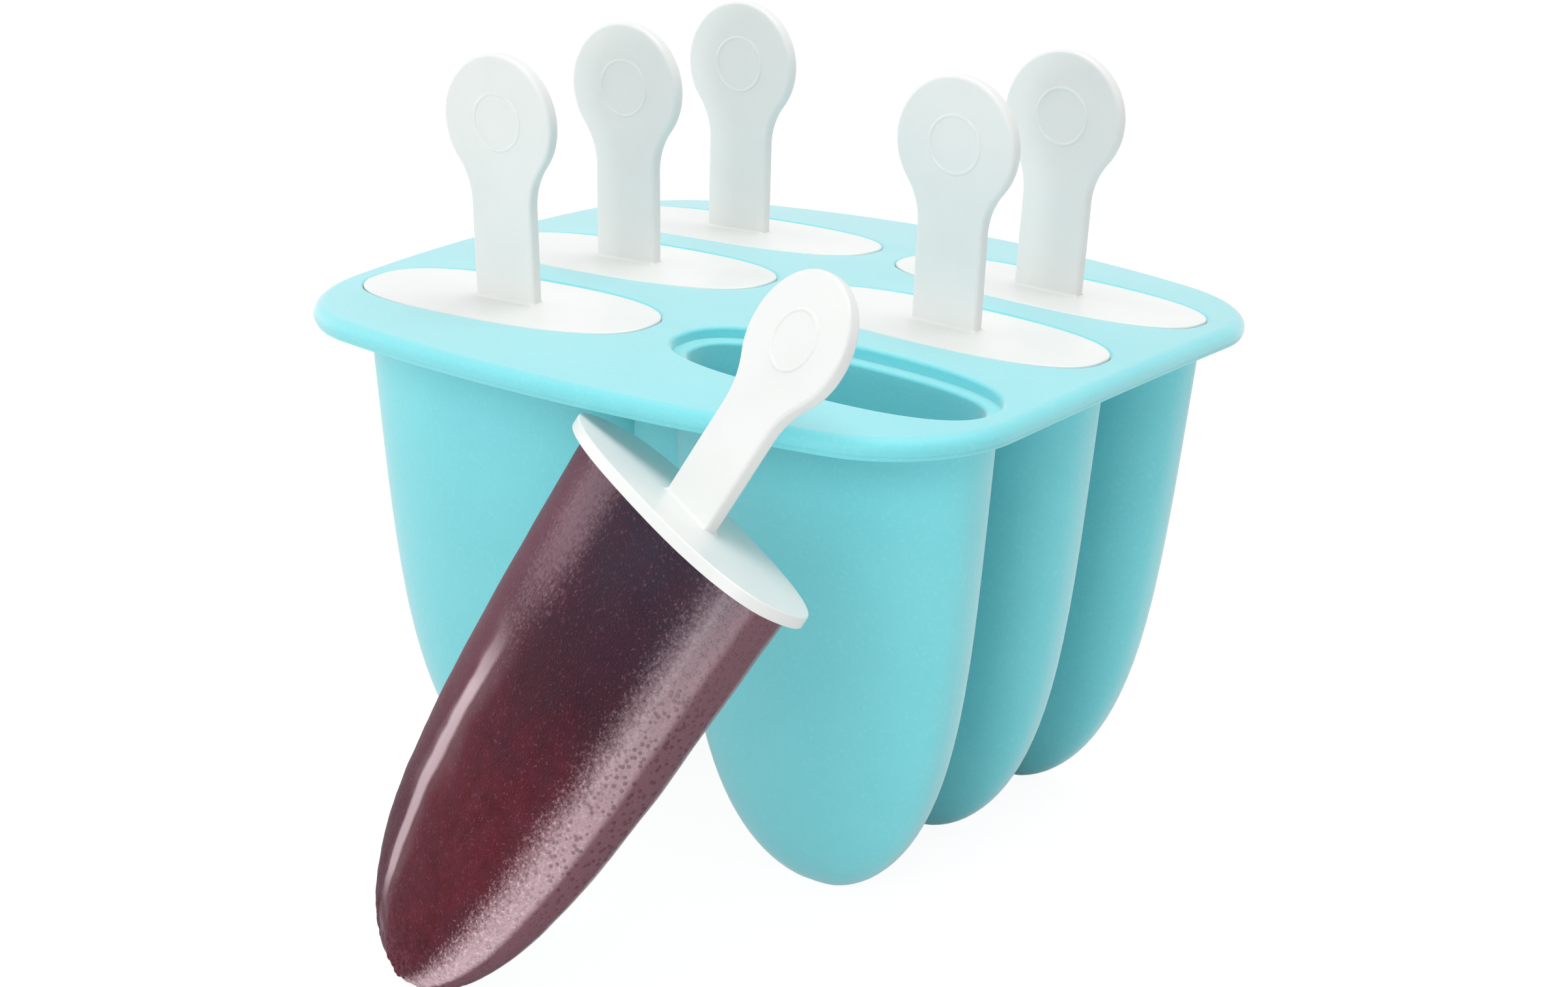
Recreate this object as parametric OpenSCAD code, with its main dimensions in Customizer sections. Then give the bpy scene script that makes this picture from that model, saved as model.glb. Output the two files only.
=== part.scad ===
// Six-cup silicone ice pop mould with six stick lids, one of them lifted out with its frozen pop.
// Millimetres, +Z up. The origin lies on the table, in the middle of the footprint of the whole set.
// The rim is slightly crowned, and each cup stands square to the crown at its own place.

/* [Rim] */
// Half length of the rim, at the middle of its short side
rim_half_len = 77; // [74:0.5:90]
// Half width of the rim, at the middle of its long side
rim_half_wid = 71.5; // [68:0.5:85]
// Radius of the bowed long sides
rim_long_r = 240; // [180:5:600]
// Radius of the bowed short sides
rim_short_r = 950; // [400:10:1500]
// Radius of the rim's corners, seen from above
rim_corner_r = 28; // [18:1:36]
// Thickness of the rim
rim_t = 3.8; // [3.4:0.1:5]
// Radius of the rim's rounded top edge
rim_edge_r = 2.2; // [1.2:0.1:2.4]
// Depth of the parting line below the top
parting_drop = 2.7; // [2.5:0.1:3]
// Step back of the band below the parting line
parting_step = 0.3; // [0.1:0.05:0.5]
// Fall of the crown from the middle to the short sides
crown_len_drop = 2.1; // [0:0.1:4]
// Fall of the crown from the middle to the long sides
crown_wid_drop = 2.7; // [0:0.1:4]

/* [Cups] */
// Distance between the two columns of cups
col_pitch = 74.4; // [70:0.2:84]
// Distance between two rows of cups
row_pitch = 36.9; // [33:0.1:44]
// Half length of a cup's hollow at the mouth
hollow_half_len = 30.7; // [26:0.1:32]
// Half width of a cup's hollow at the mouth
hollow_half_wid = 11; // [8:0.1:13]
// Depth of a cup from the top of its lid to its outer tip
cup_depth = 101; // [80:0.5:120]
// Thickness of a cup's wall
cup_wall = 2.1; // [1.5:0.1:3]
// Thickness of a cup's bottom
cup_floor = 3.5; // [2.5:0.1:5]
// Share of its length that a cup's section loses down to the tip
len_taper = 0.17; // [0.05:0.01:0.3]
// Share of its width that a cup's section loses down to the tip
wid_taper = 0.22; // [0.05:0.01:0.35]
// Exponent of the rounded tip, higher is blunter
tip_power = 5; // [3:0.5:8]
// Exponent of the oval sections, 2 is an ellipse
oval_power = 2.5; // [2:0.1:3]
// Height that the feet are trimmed flat by
foot_trim = 0.8; // [0.3:0.1:1.5]
// Thickness of the web between the two cups of a row
web_t = 6; // [3:0.5:9]
// Depth of the webs below the tops of the lids
web_depth = 28; // [12:1:45]

/* [Seats] */
// Width of the ledge that a lid plate rests on
ledge_w = 2.6; // [1.5:0.1:3]
// Radius of the soft lips of the seat
lip_r = 0.7; // [0.3:0.1:1]
// Gap around a seated lid plate
seat_gap = 0.15; // [0.05:0.05:0.4]
// How far a seated plate lies below the crown
lid_sink = 0.2; // [0:0.05:0.5]

/* [Stick lids] */
// Thickness of the lid plate
plate_t = 2.2; // [1.6:0.1:2.6]
// Width of the stem
stem_w = 14.2; // [10:0.2:18]
// Thickness of the stem and the head
stem_t = 2.8; // [2:0.1:4]
// Radius of the round head
head_r = 12.7; // [10:0.1:16]
// Height of the head's centre above the plate
head_rise = 34.3; // [28:0.1:45]
// Radius of the hollow shoulders between the stem and the head
shoulder_r = 13; // [6:0.5:20]
// Chamfer along the edges of the plate, the stem and the head
stick_edge = 0.6; // [0.2:0.1:0.8]
// Width of the tang that is frozen into the pop
tang_w = 11; // [8:0.5:13]
// Thickness of the tang
tang_t = 2.4; // [1.6:0.1:3]
// Length of the tang below the plate
tang_len = 50; // [30:1:65]
// Radius of the holes in the tang
tang_hole_r = 2.6; // [1.5:0.1:3.5]
// Distance between the holes in the tang
tang_hole_pitch = 13; // [10:0.5:15]

/* [Lifted pop] */
// Heading that the lifted pop leans in, turned from the back towards the left
pop_heading = -47; // [-56:1:-38]
// Lean of the lifted pop away from upright
pop_lean = 31; // [28:0.5:34]
// Turn of the lifted pop about its own stem
pop_spin = 26; // [14:1:30]
// Place of the lifted pop's lid along the rim
pop_x = 36.5; // [30:0.5:42]
// Gap between the leaning stem and the rim
lean_gap = 0.2; // [0.1:0.05:0.5]

/* [Hidden] */

aqua = [0.49, 0.83, 0.85];
white = [0.95, 0.96, 0.95];
berry = [0.38, 0.13, 0.18];

left = -1;
right = 1;
front = -1;
middle = 0;
back = 1;

// Counts of flats and steps along each curve
oval_sides = 28;
side_steps = 3;
corner_steps = 6;
long_steps = 5;
shoulder_steps = 4;
head_steps = 10;
hole_count = 3;
contact_passes = 8;
round_sides = 32;
// Turns of the rounded tip at which a cup has a ring, from the tip up
tip_turns = [83, 71, 56, 41, 26, 11];
// Turns of the rim's rounded edge at which it has a ring
edge_turns = [0, 30, 60, 90];
// Shares of the outline at which the crown has a ring, from the edge to the middle
crown_shares = [0.78, 0.5, 0.25];
// Share of the outline that is flat in the middle of the crown
flat_share = 0.12;
// Height of the band's own rounding at the rim's lower edge
band_round = 0.5;
// How far a cutter, or a shape that is cut flat, runs past the face that is left
past = 2;

// Half sizes that follow from the hollow
cup_half_len = hollow_half_len + cup_wall;
cup_half_wid = hollow_half_wid + cup_wall;
plate_half_len = hollow_half_len + ledge_w;
plate_half_wid = hollow_half_wid + ledge_w;
hollow_depth = cup_depth - cup_floor;
stem_half_w = stem_w / 2;
// Depths in the plate that the stem runs down to and that the tang starts from
stem_root = 0.7 * plate_t;
tang_root = 0.3 * plate_t;

// The crown falls from the middle of the rim to its sides
function crown(x, y) = -crown_len_drop * pow(x / rim_half_len, 2) - crown_wid_drop * pow(y / rim_half_wid, 2);
function slope_x(x) = atan(2 * crown_len_drop * x / pow(rim_half_len, 2));
function slope_y(y) = atan(2 * crown_wid_drop * y / pow(rim_half_wid, 2));

// Height of the crown's middle, with the trimmed feet of the four corner cups on the table
corner_x = col_pitch / 2;
corner_y = row_pitch;
tilt_share = cos(slope_x(corner_x)) * cos(slope_y(corner_y));
top_h = cup_depth * tilt_share - crown(corner_x, corner_y) + lid_sink - foot_trim;
function top_z(x, y) = top_h + crown(x, y);

// Oval section by its half sizes, at a height
function power_of(v, p) = sign(v) * pow(abs(v), p);
function oval(a, b, z) = [for (i = [0 : oval_sides - 1]) let (t = 360 * i / oval_sides)
    [a * power_of(cos(t), 2 / oval_power), b * power_of(sin(t), 2 / oval_power), z]];
function plate_oval(grow, z) = oval(plate_half_len + grow, plate_half_wid + grow, z);

// Cup section at a share t of the depth. Its size s follows s^2 + t^tip_power = 1, less the taper.
function tip_share(turn) = pow(sin(turn), 2 / tip_power);
function cup_oval(a, b, depth, t, grow = 0) = let (s = sqrt(1 - pow(t, tip_power)))
    oval(a * s * (1 - len_taper * t) + grow, b * s * (1 - wid_taper * t) + grow, -depth * t);
function cup_rings(a, b, depth, top) = concat(
    [for (turn = tip_turns) cup_oval(a, b, depth, tip_share(turn))],
    [cup_oval(a, b, depth, top / depth)]);

// Bowed outline of the rim: a long arc, a short arc and a corner that is tangent to both
long_c = [0, rim_half_wid - rim_long_r];
short_c = [rim_half_len - rim_short_r, 0];
corner_c = let (to_short = rim_short_r - rim_corner_r, to_long = rim_long_r - rim_corner_r,
                d = norm(long_c - short_c), u = (long_c - short_c) / d,
                along = (pow(to_short, 2) - pow(to_long, 2) + d * d) / (2 * d),
                aside = sqrt(pow(to_short, 2) - along * along))
    short_c + along * u + aside * [-u.y, u.x];
short_turn = atan2(corner_c.y - short_c.y, corner_c.x - short_c.x);
long_turn = atan2(corner_c.y - long_c.y, corner_c.x - long_c.x);
function arc(c, r, from, to, steps) = [for (i = [0 : steps - 1])
    let (t = from + (to - from) * i / steps) c + r * [cos(t), sin(t)]];
function quarter(inset) = concat(
    arc(short_c, rim_short_r - inset, 0, short_turn, side_steps),
    arc(corner_c, rim_corner_r - inset, short_turn, long_turn, corner_steps),
    arc(long_c, rim_long_r - inset, long_turn, 90, long_steps));
function half_outline(inset) = let (q = quarter(inset))
    concat(q, [[0, rim_half_wid - inset]], [for (i = [len(q) - 1 : -1 : 1]) [-q[i].x, q[i].y]]);
function outline(inset) = concat(half_outline(inset), -half_outline(inset));

// Ring of the rim, drawn in by an inset, shrunk by a share and dropped below the crown
function rim_ring(inset, drop, share = 1) = [for (p = outline(inset) * share)
    [p.x, p.y, top_z(p.x, p.y) - drop]];
function flat_ring(inset, drop) = [for (p = outline(inset) * flat_share) [p.x, p.y, top_h - drop]];

// Solid skinned over rings of equal count, listed upwards, each counter-clockwise seen from above
module skin(rings) {
    n = len(rings[0]);
    m = len(rings);
    bottom = [for (i = [0 : n - 1]) i];
    top = [for (i = [n - 1 : -1 : 0]) (m - 1) * n + i];
    sides = [for (j = [0 : m - 2]) for (i = [0 : n - 1])
        let (a = j * n + i, b = j * n + (i + 1) % n) each [[a, a + n, b + n], [a, b + n, b]]];
    polyhedron(points = [for (ring = rings) each ring], faces = concat([bottom], sides, [top]));
}

// Frame of one seated lid: square to the crown, with its top at z = 0
module at_cup(col, row) {
    x = col * col_pitch / 2;
    y = row * row_pitch;
    translate([x, y, top_z(x, y) - lid_sink]) rotate([-slope_y(y), slope_x(x), 0]) children();
}

module rim() {
    band_in = parting_step;
    inner = rim_edge_r;
    skin(concat(
        [flat_ring(inner, rim_t)],
        [rim_ring(inner, rim_t, crown_shares[1]),
         rim_ring(band_in + band_round, rim_t), rim_ring(band_in, rim_t - band_round),
         rim_ring(band_in, parting_drop), rim_ring(0, parting_drop)],
        [for (turn = edge_turns) rim_ring(inner * (1 - cos(turn)), inner * (1 - sin(turn)))],
        [for (share = crown_shares) rim_ring(inner, 0, share)],
        [flat_ring(inner, 0)]));
}

// Outside of one cup, from its tip up into the rim
module cup() {
    skin(cup_rings(cup_half_len, cup_half_wid, cup_depth, (plate_t + rim_t) / 2));
}

// Hollow of one cup, with the ledge for the lid plate and soft lips above and below it
module hollow() {
    lip_low = plate_t + lip_r;
    third = lip_r / 3;
    lip_share = plate_t / hollow_depth;
    skin(concat(
        cup_rings(hollow_half_len, hollow_half_wid, hollow_depth, lip_low),
        [cup_oval(hollow_half_len, hollow_half_wid, hollow_depth, (plate_t + third) / hollow_depth, third),
         cup_oval(hollow_half_len, hollow_half_wid, hollow_depth, lip_share, lip_r)],
        [plate_oval(seat_gap, -plate_t), plate_oval(seat_gap, lid_sink - lip_r),
         plate_oval(seat_gap + third, lid_sink - third), plate_oval(seat_gap + lip_r, lid_sink),
         plate_oval(seat_gap + lip_r, lid_sink + past)]));
}

// Web that ties the two cups of a row together below the rim
module web(row) {
    y = row * row_pitch;
    reach = col_pitch / 2 - hollow_half_len * (1 - len_taper * web_depth / cup_depth);
    translate([0, y, top_z(0, y) - lid_sink]) rotate([-slope_y(y), 0, 0])
        translate([-reach, -web_t / 2, -web_depth])
            cube([2 * reach, web_t, web_depth - (plate_t + rim_t) / 2]);
}

module silicone_body() {
    color(aqua) difference() {
        union() {
            rim();
            for (row = [front : back]) web(row);
            for (col = [left, right], row = [front : back]) at_cup(col, row) cup();
        }
        for (col = [left, right], row = [front : back]) at_cup(col, row) hollow();
        translate([-rim_half_len, -rim_half_wid, -cup_depth])
            cube([2 * rim_half_len, 2 * rim_half_wid, cup_depth]);
    }
}

// Outline of the stem, shoulders and head, drawn in by an inset, from the plate up and over
shoulder_c = [stem_half_w + shoulder_r,
              head_rise - sqrt(pow(head_r + shoulder_r, 2) - pow(stem_half_w + shoulder_r, 2))];
shoulder_turn = atan2(head_rise - shoulder_c.y, shoulder_c.x);
function paddle_side(inset) = concat(
    [[stem_half_w - inset, -stem_root]],
    arc(shoulder_c, shoulder_r + inset, 180, 180 - shoulder_turn, shoulder_steps),
    arc([0, head_rise], head_r - inset, -shoulder_turn, 90, head_steps));
function paddle(inset, z) = let (side = paddle_side(inset)) concat(
    [for (p = side) [p.x, p.y, z]],
    [[0, head_rise + head_r - inset, z]],
    [for (i = [len(side) - 1 : -1 : 0]) [-side[i].x, side[i].y, z]]);

// The faces are cut flat at the ends of the chamfers, which run on past them
module lid_plate() {
    intersection() {
        skin([plate_oval(-stick_edge / 2 - past, -plate_t - past), plate_oval(0, -plate_t + stick_edge / 2),
              plate_oval(0, -stick_edge), plate_oval(-stick_edge - past, past)]);
        translate([-plate_half_len - past, -plate_half_wid - past, -plate_t])
            cube([2 * (plate_half_len + past), 2 * (plate_half_wid + past), plate_t]);
    }
}

module handle() {
    half_t = stem_t / 2;
    reach = head_rise + head_r + past;
    intersection() {
        rotate([90, 0, 0]) skin([paddle(stick_edge + past, -half_t - past), paddle(0, stick_edge - half_t),
                                 paddle(0, half_t - stick_edge), paddle(stick_edge + past, half_t + past)]);
        translate([-reach, -half_t, -plate_t]) cube([2 * reach, stem_t, plate_t + reach]);
    }
}

// Blade below the plate, with the holes that the pop freezes through
module tang() {
    end_y = -plate_t - tang_len + tang_w / 2;
    rotate([90, 0, 0]) linear_extrude(tang_t, center = true) difference() {
        union() {
            translate([-tang_w / 2, end_y]) square([tang_w, -tang_root - end_y]);
            translate([0, end_y]) circle(d = tang_w, $fn = round_sides);
        }
        for (i = [0 : hole_count - 1]) translate([0, end_y + i * tang_hole_pitch])
            circle(tang_hole_r, $fn = round_sides);
    }
}

module stick_lid() {
    color(white) {
        lid_plate();
        handle();
        tang();
    }
}

// Turn of the lifted pop, and a point of it turned
lean_turn = let (c = [for (a = [pop_heading, pop_lean, pop_spin]) cos(a)],
                 s = [for (a = [pop_heading, pop_lean, pop_spin]) sin(a)])
    [[c[0], -s[0], 0], [s[0], c[0], 0], [0, 0, 1]]
    * [[1, 0, 0], [0, c[1], s[1]], [0, -s[1], c[1]]]
    * [[c[2], -s[2], 0], [s[2], c[2], 0], [0, 0, 1]];
pop_rings = cup_rings(hollow_half_len, hollow_half_wid, hollow_depth, plate_t);
turned_pop = [for (ring = pop_rings) each [for (p = ring) lean_turn * p]];
stem_way = lean_turn * [0, 0, 1];

// The stem's rounded back edges, and the one that meets the rim first, seen along n
back_edges = [for (way = [left, right])
    lean_turn * [way * (stem_half_w - stick_edge), stem_t / 2 - stick_edge, 0]];
function nearest_edge(n) = back_edges[0] * n < back_edges[1] * n ? back_edges[0] : back_edges[1];

// Middle line of the rim's rounded front edge where it crosses x, and its direction there
function edge_at(x) = let (rise = sqrt(pow(rim_long_r, 2) - x * x), y = -(long_c.y + rise) + rim_edge_r)
    [x, y, top_z(x, y) - rim_edge_r];
function edge_way(x) = let (rise = sqrt(pow(rim_long_r, 2) - x * x)) [1, x / rise, -tan(slope_x(x))];
function front_normal(x) = let (n = cross(edge_way(x), stem_way)) (n.y > 0 ? -n : n) / norm(n);

// Place of the lifted lid when the tip is on the table and the stem leans on the rim at x
lifted_z = -min([for (p = turned_pop) p.z]);
function lifted_y(x) = let (n = front_normal(x), start = [pop_x, 0, lifted_z] + nearest_edge(n) - edge_at(x))
    (rim_edge_r + stick_edge + lean_gap - start * n) / n.y;
function crossing(x) = let (
    w = [pop_x, lifted_y(x), lifted_z] + nearest_edge(front_normal(x)) - edge_at(x), e = edge_way(x),
    ee = e * e, es = e * stem_way, ss = stem_way * stem_way)
    x + (ss * (e * w) - es * (stem_way * w)) / (ee * ss - es * es) * e.x;
function settled(x, passes) = passes == 0 ? x : settled(crossing(x), passes - 1);

// Furthest back that the lifted plate can lie: each of its points is below the rim or in front of it
turned_plate = [for (z = [0, -plate_t]) for (p = plate_oval(0, z)) lean_turn * p];
rim_under = top_z(0, rim_half_wid) - rim_t - lean_gap;
plate_y = min([for (p = turned_plate) lifted_z + p.z < rim_under + crown(pop_x + p.x, 0) ? 0
    : edge_at(pop_x + p.x).y - rim_edge_r - lean_gap - p.y]);
lifted_at = [pop_x, min(lifted_y(settled(pop_x, contact_passes)), plate_y), lifted_z];

// The set's footprint runs from the lifted pop to the back of the rim, and its middle is the origin
footprint_y = (lifted_at.y + min([for (p = concat(turned_pop, turned_plate)) p.y]) + rim_half_wid) / 2;

module on_table() {
    translate([0, -footprint_y, 0]) children();
}

module lifted() {
    translate(lifted_at) rotate([0, 0, pop_heading]) rotate([-pop_lean, 0, 0]) rotate([0, 0, pop_spin])
        children();
}

module frozen_pop() {
    color(berry) difference() {
        skin(pop_rings);
        tang();
    }
}

on_table() silicone_body();
on_table() at_cup(left, front) stick_lid();  // stick_front_left
on_table() at_cup(left, middle) stick_lid();  // stick_middle_left
on_table() at_cup(left, back) stick_lid();  // stick_back_left
on_table() at_cup(right, middle) stick_lid();  // stick_middle_right
on_table() at_cup(right, back) stick_lid();  // stick_back_right
on_table() lifted() stick_lid();  // stick_front_right
on_table() lifted() frozen_pop();
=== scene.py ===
# %% [markdown]
# # An ice pop mould, dressed for a studio picture
# The object is a soft silicone mould with six deep cups, six stick lids, and one frozen pop that has been
# lifted out and leans on the rim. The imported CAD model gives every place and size. This file builds the
# smooth forms and the finishes around it, one piece at a time.

# %% Load the frame
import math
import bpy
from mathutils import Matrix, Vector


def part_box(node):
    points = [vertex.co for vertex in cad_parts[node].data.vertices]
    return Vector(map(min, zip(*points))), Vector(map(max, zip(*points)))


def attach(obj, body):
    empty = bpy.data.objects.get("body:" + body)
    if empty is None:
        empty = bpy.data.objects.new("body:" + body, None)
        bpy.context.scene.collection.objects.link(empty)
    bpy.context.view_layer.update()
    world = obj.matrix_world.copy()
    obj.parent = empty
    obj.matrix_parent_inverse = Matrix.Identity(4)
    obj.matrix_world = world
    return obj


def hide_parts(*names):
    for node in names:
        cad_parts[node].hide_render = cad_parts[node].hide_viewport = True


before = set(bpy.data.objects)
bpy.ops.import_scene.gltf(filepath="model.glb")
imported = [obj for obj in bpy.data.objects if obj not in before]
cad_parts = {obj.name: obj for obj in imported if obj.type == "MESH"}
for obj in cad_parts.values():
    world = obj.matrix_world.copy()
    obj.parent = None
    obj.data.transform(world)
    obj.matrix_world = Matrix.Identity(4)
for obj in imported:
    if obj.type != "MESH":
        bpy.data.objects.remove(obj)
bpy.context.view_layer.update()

# %% Tools and units
from types import SimpleNamespace

import bpy
from mathutils import Matrix, Vector

MM = 0.001

# %% [markdown]
# ## Where the picture is taken from
# The camera is set by what the picture shows: the middle of the rim's crown lies at one pixel, at a known
# distance, seen from a known heading and height. Placing it from those four facts is steadier than moving
# a camera by eye, because each fact can be checked alone.

# %% Camera
IMAGE_WIDTH, IMAGE_HEIGHT = 2408, 1516
FOCAL_PIXELS = 5000.0
SENSOR_MM = 36.0
CAMERA_AZIMUTH, CAMERA_ELEVATION, CAMERA_ROLL = 34.75, 18.35, 1.6
CROWN_PIXEL = (1202.0, 441.0)
CROWN_DISTANCE = 624 * MM

body_low, body_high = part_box("silicone_body")
RIM_HALF_LEN = (body_high.x - body_low.x) / 2
RIM_HALF_WID = (body_high.y - body_low.y) / 2
MOULD_Y = (body_low.y + body_high.y) / 2
TOP_H = body_high.z


def add_camera():
    """A camera that sees the crown's middle at CROWN_PIXEL, from the picture's heading."""
    turn = (Matrix.Rotation(math.radians(CAMERA_AZIMUTH), 3, "Z")
            @ Matrix.Rotation(math.radians(90 - CAMERA_ELEVATION), 3, "X")
            @ Matrix.Rotation(math.radians(CAMERA_ROLL), 3, "Z"))
    across = (CROWN_PIXEL[0] - IMAGE_WIDTH / 2) * CROWN_DISTANCE / FOCAL_PIXELS
    down = (CROWN_PIXEL[1] - IMAGE_HEIGHT / 2) * CROWN_DISTANCE / FOCAL_PIXELS
    crown = Vector((0, MOULD_Y, TOP_H))
    data = bpy.data.cameras.new("camera")
    data.sensor_width = SENSOR_MM
    data.lens = SENSOR_MM * FOCAL_PIXELS / IMAGE_WIDTH
    camera = bpy.data.objects.new("camera", data)
    bpy.context.scene.collection.objects.link(camera)
    to_crown = turn @ Vector((across, -down, -CROWN_DISTANCE))
    camera.matrix_world = Matrix.Translation(crown - to_crown) @ turn.to_4x4()
    return camera


bpy.context.scene.camera = add_camera()
print("camera at", [round(v, 3) for v in bpy.context.scene.camera.matrix_world.translation])

# %% [markdown]
# ## Working as by hand
# Operators act on whatever is selected, so each one starts from a clean selection. A form that tapers is
# pulled from one outline: the face is extruded by a step and scaled to the next size, over and over. That
# keeps every section true to the first one, which a sculpted form would not.

# %% Selection and modifiers


def pick(piece):
    """Only this piece is selected and active, in object mode."""
    if bpy.context.object and bpy.context.object.mode != "OBJECT":
        bpy.ops.object.mode_set(mode="OBJECT")
    bpy.ops.object.select_all(action="DESELECT")
    piece.select_set(True)
    bpy.context.view_layer.objects.active = piece


def apply_modifier(piece, kind, **settings):
    """Adds one modifier with its settings and applies it."""
    modifier = piece.modifiers.new(kind.lower(), kind)
    for key, value in settings.items():
        setattr(modifier, key, value)
    pick(piece)
    bpy.ops.object.modifier_apply(modifier=modifier.name)


def combine(piece, tool, operation):
    """Joins, cuts or crosses the piece with a tool, which is used up."""
    apply_modifier(piece, "BOOLEAN", operation=operation, object=tool, solver="MANIFOLD")
    bpy.data.objects.remove(tool)


# %% Outline, pull and copy


def outline_piece(name, points):
    """A filled circle whose vertices are slid onto an outline, lying flat at height 0."""
    bpy.ops.object.select_all(action="DESELECT")
    bpy.ops.mesh.primitive_circle_add(vertices=len(points), radius=MM, fill_type="NGON")
    piece = bpy.context.object
    piece.name = name
    for vertex, (x, y) in zip(piece.data.vertices, points):
        vertex.co = (x, y, 0)
    return piece


def pull(piece, sections):
    """Pulls the flat face through sections (height, half length, half width), which start with its own."""
    pick(piece)
    bpy.ops.object.mode_set(mode="EDIT")
    bpy.ops.mesh.select_mode(type="FACE")
    bpy.ops.mesh.select_all(action="SELECT")
    bpy.ops.transform.translate(value=(0, 0, sections[0][0]))
    for before, after in zip(sections, sections[1:]):
        bpy.ops.mesh.extrude_region_move(TRANSFORM_OT_translate={"value": (0, 0, after[0] - before[0])})
        bpy.ops.transform.resize(value=(after[1] / before[1], after[2] / before[2], 1),
                                 center_override=(0, 0, after[0]))
    bpy.ops.mesh.select_all(action="SELECT")
    bpy.ops.mesh.normals_make_consistent(inside=False)
    bpy.ops.object.mode_set(mode="OBJECT")


def settle(piece, matrix):
    """Moves the piece by a matrix and leaves the place in its mesh."""
    piece.matrix_world = matrix
    pick(piece)
    bpy.ops.object.transform_apply(location=True, rotation=True, scale=True)
    return piece


def copy_to(piece, name, matrix):
    """A copy with its own mesh, settled at a place."""
    twin = piece.copy()
    twin.data = piece.data.copy()
    twin.name = name
    bpy.context.scene.collection.objects.link(twin)
    return settle(twin, matrix)


def join(pieces):
    """One object of several closed shells."""
    pick(pieces[0])
    for piece in pieces[1:]:
        piece.select_set(True)
    bpy.ops.object.join()
    return bpy.context.object


def smooth(piece, angle):
    """Smooth shading, with edges kept crisp past the angle."""
    pick(piece)
    bpy.ops.object.shade_smooth_by_angle(angle=math.radians(angle))


# %% [markdown]
# ## The crown and the six places
# The top of the mould is not flat: it falls a little from the middle to the sides, and each cup and lid
# stands square to it. One small matrix for each place carries that tilt, so a cup and a lid can be
# modelled upright at the origin and then set down.

# %% Crown and places
CROWN_LEN_DROP, CROWN_WID_DROP = 2.1 * MM, 2.7 * MM
COL_PITCH, ROW_PITCH = 74.4 * MM, 36.9 * MM
LID_SINK = 0.2 * MM


def crown(x, y):
    """Height of the top at a point, counted from the middle of the rim."""
    return TOP_H - CROWN_LEN_DROP * (x / RIM_HALF_LEN) ** 2 - CROWN_WID_DROP * (y / RIM_HALF_WID) ** 2


def place(col, row):
    """Matrix of one seated lid: its top is at height 0, square to the crown."""
    x, y = col * COL_PITCH / 2, row * ROW_PITCH
    slope_x = math.atan(2 * CROWN_LEN_DROP * x / RIM_HALF_LEN ** 2)
    slope_y = math.atan(2 * CROWN_WID_DROP * y / RIM_HALF_WID ** 2)
    return (Matrix.Translation((x, MOULD_Y + y, crown(x, y) - LID_SINK))
            @ Matrix.Rotation(slope_x, 4, "Y") @ Matrix.Rotation(-slope_y, 4, "X"))


PLACES = {f"{row_name}_{col_name}": place(col, row)
          for col, col_name in ((-1, "left"), (1, "right"))
          for row, row_name in ((-1, "front"), (0, "middle"), (1, "back"))}
print("places", sorted(PLACES))

# %% [markdown]
# ## Cups and hollows
# A cup is an oval that narrows slowly and then rounds off to a blunt tip. Its section shrinks by the rule
# s squared plus t to the fifth is 1, where t is the share of the depth. The hollow is the same form, with
# a ledge for the lid and a soft lip above and below the ledge. It is pulled as a solid, to be cut away.
# A cup could also be a sphere stretched by hand, but then its wall would not stay even round the hollow.

# %% Cup sections
HOLLOW_HALF_LEN, HOLLOW_HALF_WID = 30.7 * MM, 11 * MM
CUP_WALL, CUP_FLOOR, CUP_DEPTH = 2.1 * MM, 3.5 * MM, 101 * MM
LEN_TAPER, WID_TAPER, TIP_POWER, OVAL_POWER = 0.17, 0.22, 5, 2.5
LEDGE_W, LIP_R, SEAT_GAP, PLATE_T = 2.6 * MM, 0.7 * MM, 0.15 * MM, 2.2 * MM
OVAL_COUNT = 112
CUP_TOP, HOLLOW_TOP = 3 * MM, 4 * MM


def oval(half_len, half_wid, count=OVAL_COUNT):
    """Points of an oval that is a little squarer than an ellipse."""
    points = []
    for i in range(count):
        turn = math.tau * i / count
        c, s = math.cos(turn), math.sin(turn)
        points.append((half_len * math.copysign(abs(c) ** (2 / OVAL_POWER), c),
                       half_wid * math.copysign(abs(s) ** (2 / OVAL_POWER), s)))
    return points


def cup_section(t, half_len, half_wid, depth):
    """Height and half sizes of a cup at a share t of its depth."""
    s = math.sqrt(1 - t ** TIP_POWER)
    return (-depth * t, half_len * s * (1 - LEN_TAPER * t), half_wid * s * (1 - WID_TAPER * t))


def cup_sections(top, half_len, half_wid, depth, upper=8, lower=22):
    """Sections from a height near the mouth down to the tip, closer together where it rounds off."""
    start = top / depth
    shares = [start + (0.5 - start) * i / upper for i in range(upper)]
    first, last = 0.5 ** (TIP_POWER / 2), math.sin(math.radians(88.5))
    turns = [math.asin(first) + (math.asin(last) - math.asin(first)) * i / lower for i in range(lower + 1)]
    shares += [math.sin(turn) ** (2 / TIP_POWER) for turn in turns]
    return [cup_section(t, half_len, half_wid, depth) for t in shares]


# %% Cup solid and hollow solid


def cup_solid():
    """Outside of one cup, from inside the rim down to its tip."""
    sections = cup_sections(CUP_TOP, HOLLOW_HALF_LEN + CUP_WALL, HOLLOW_HALF_WID + CUP_WALL, CUP_DEPTH)
    piece = outline_piece("cup", oval(*sections[0][1:]))
    pull(piece, sections)
    return piece


def lip(steps=6):
    """Shares (out, down) of a quarter round, from its outer and upper end."""
    return [(1 - math.sin(math.pi / 2 * i / steps), 1 - math.cos(math.pi / 2 * i / steps))
            for i in range(steps + 1)]


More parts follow.
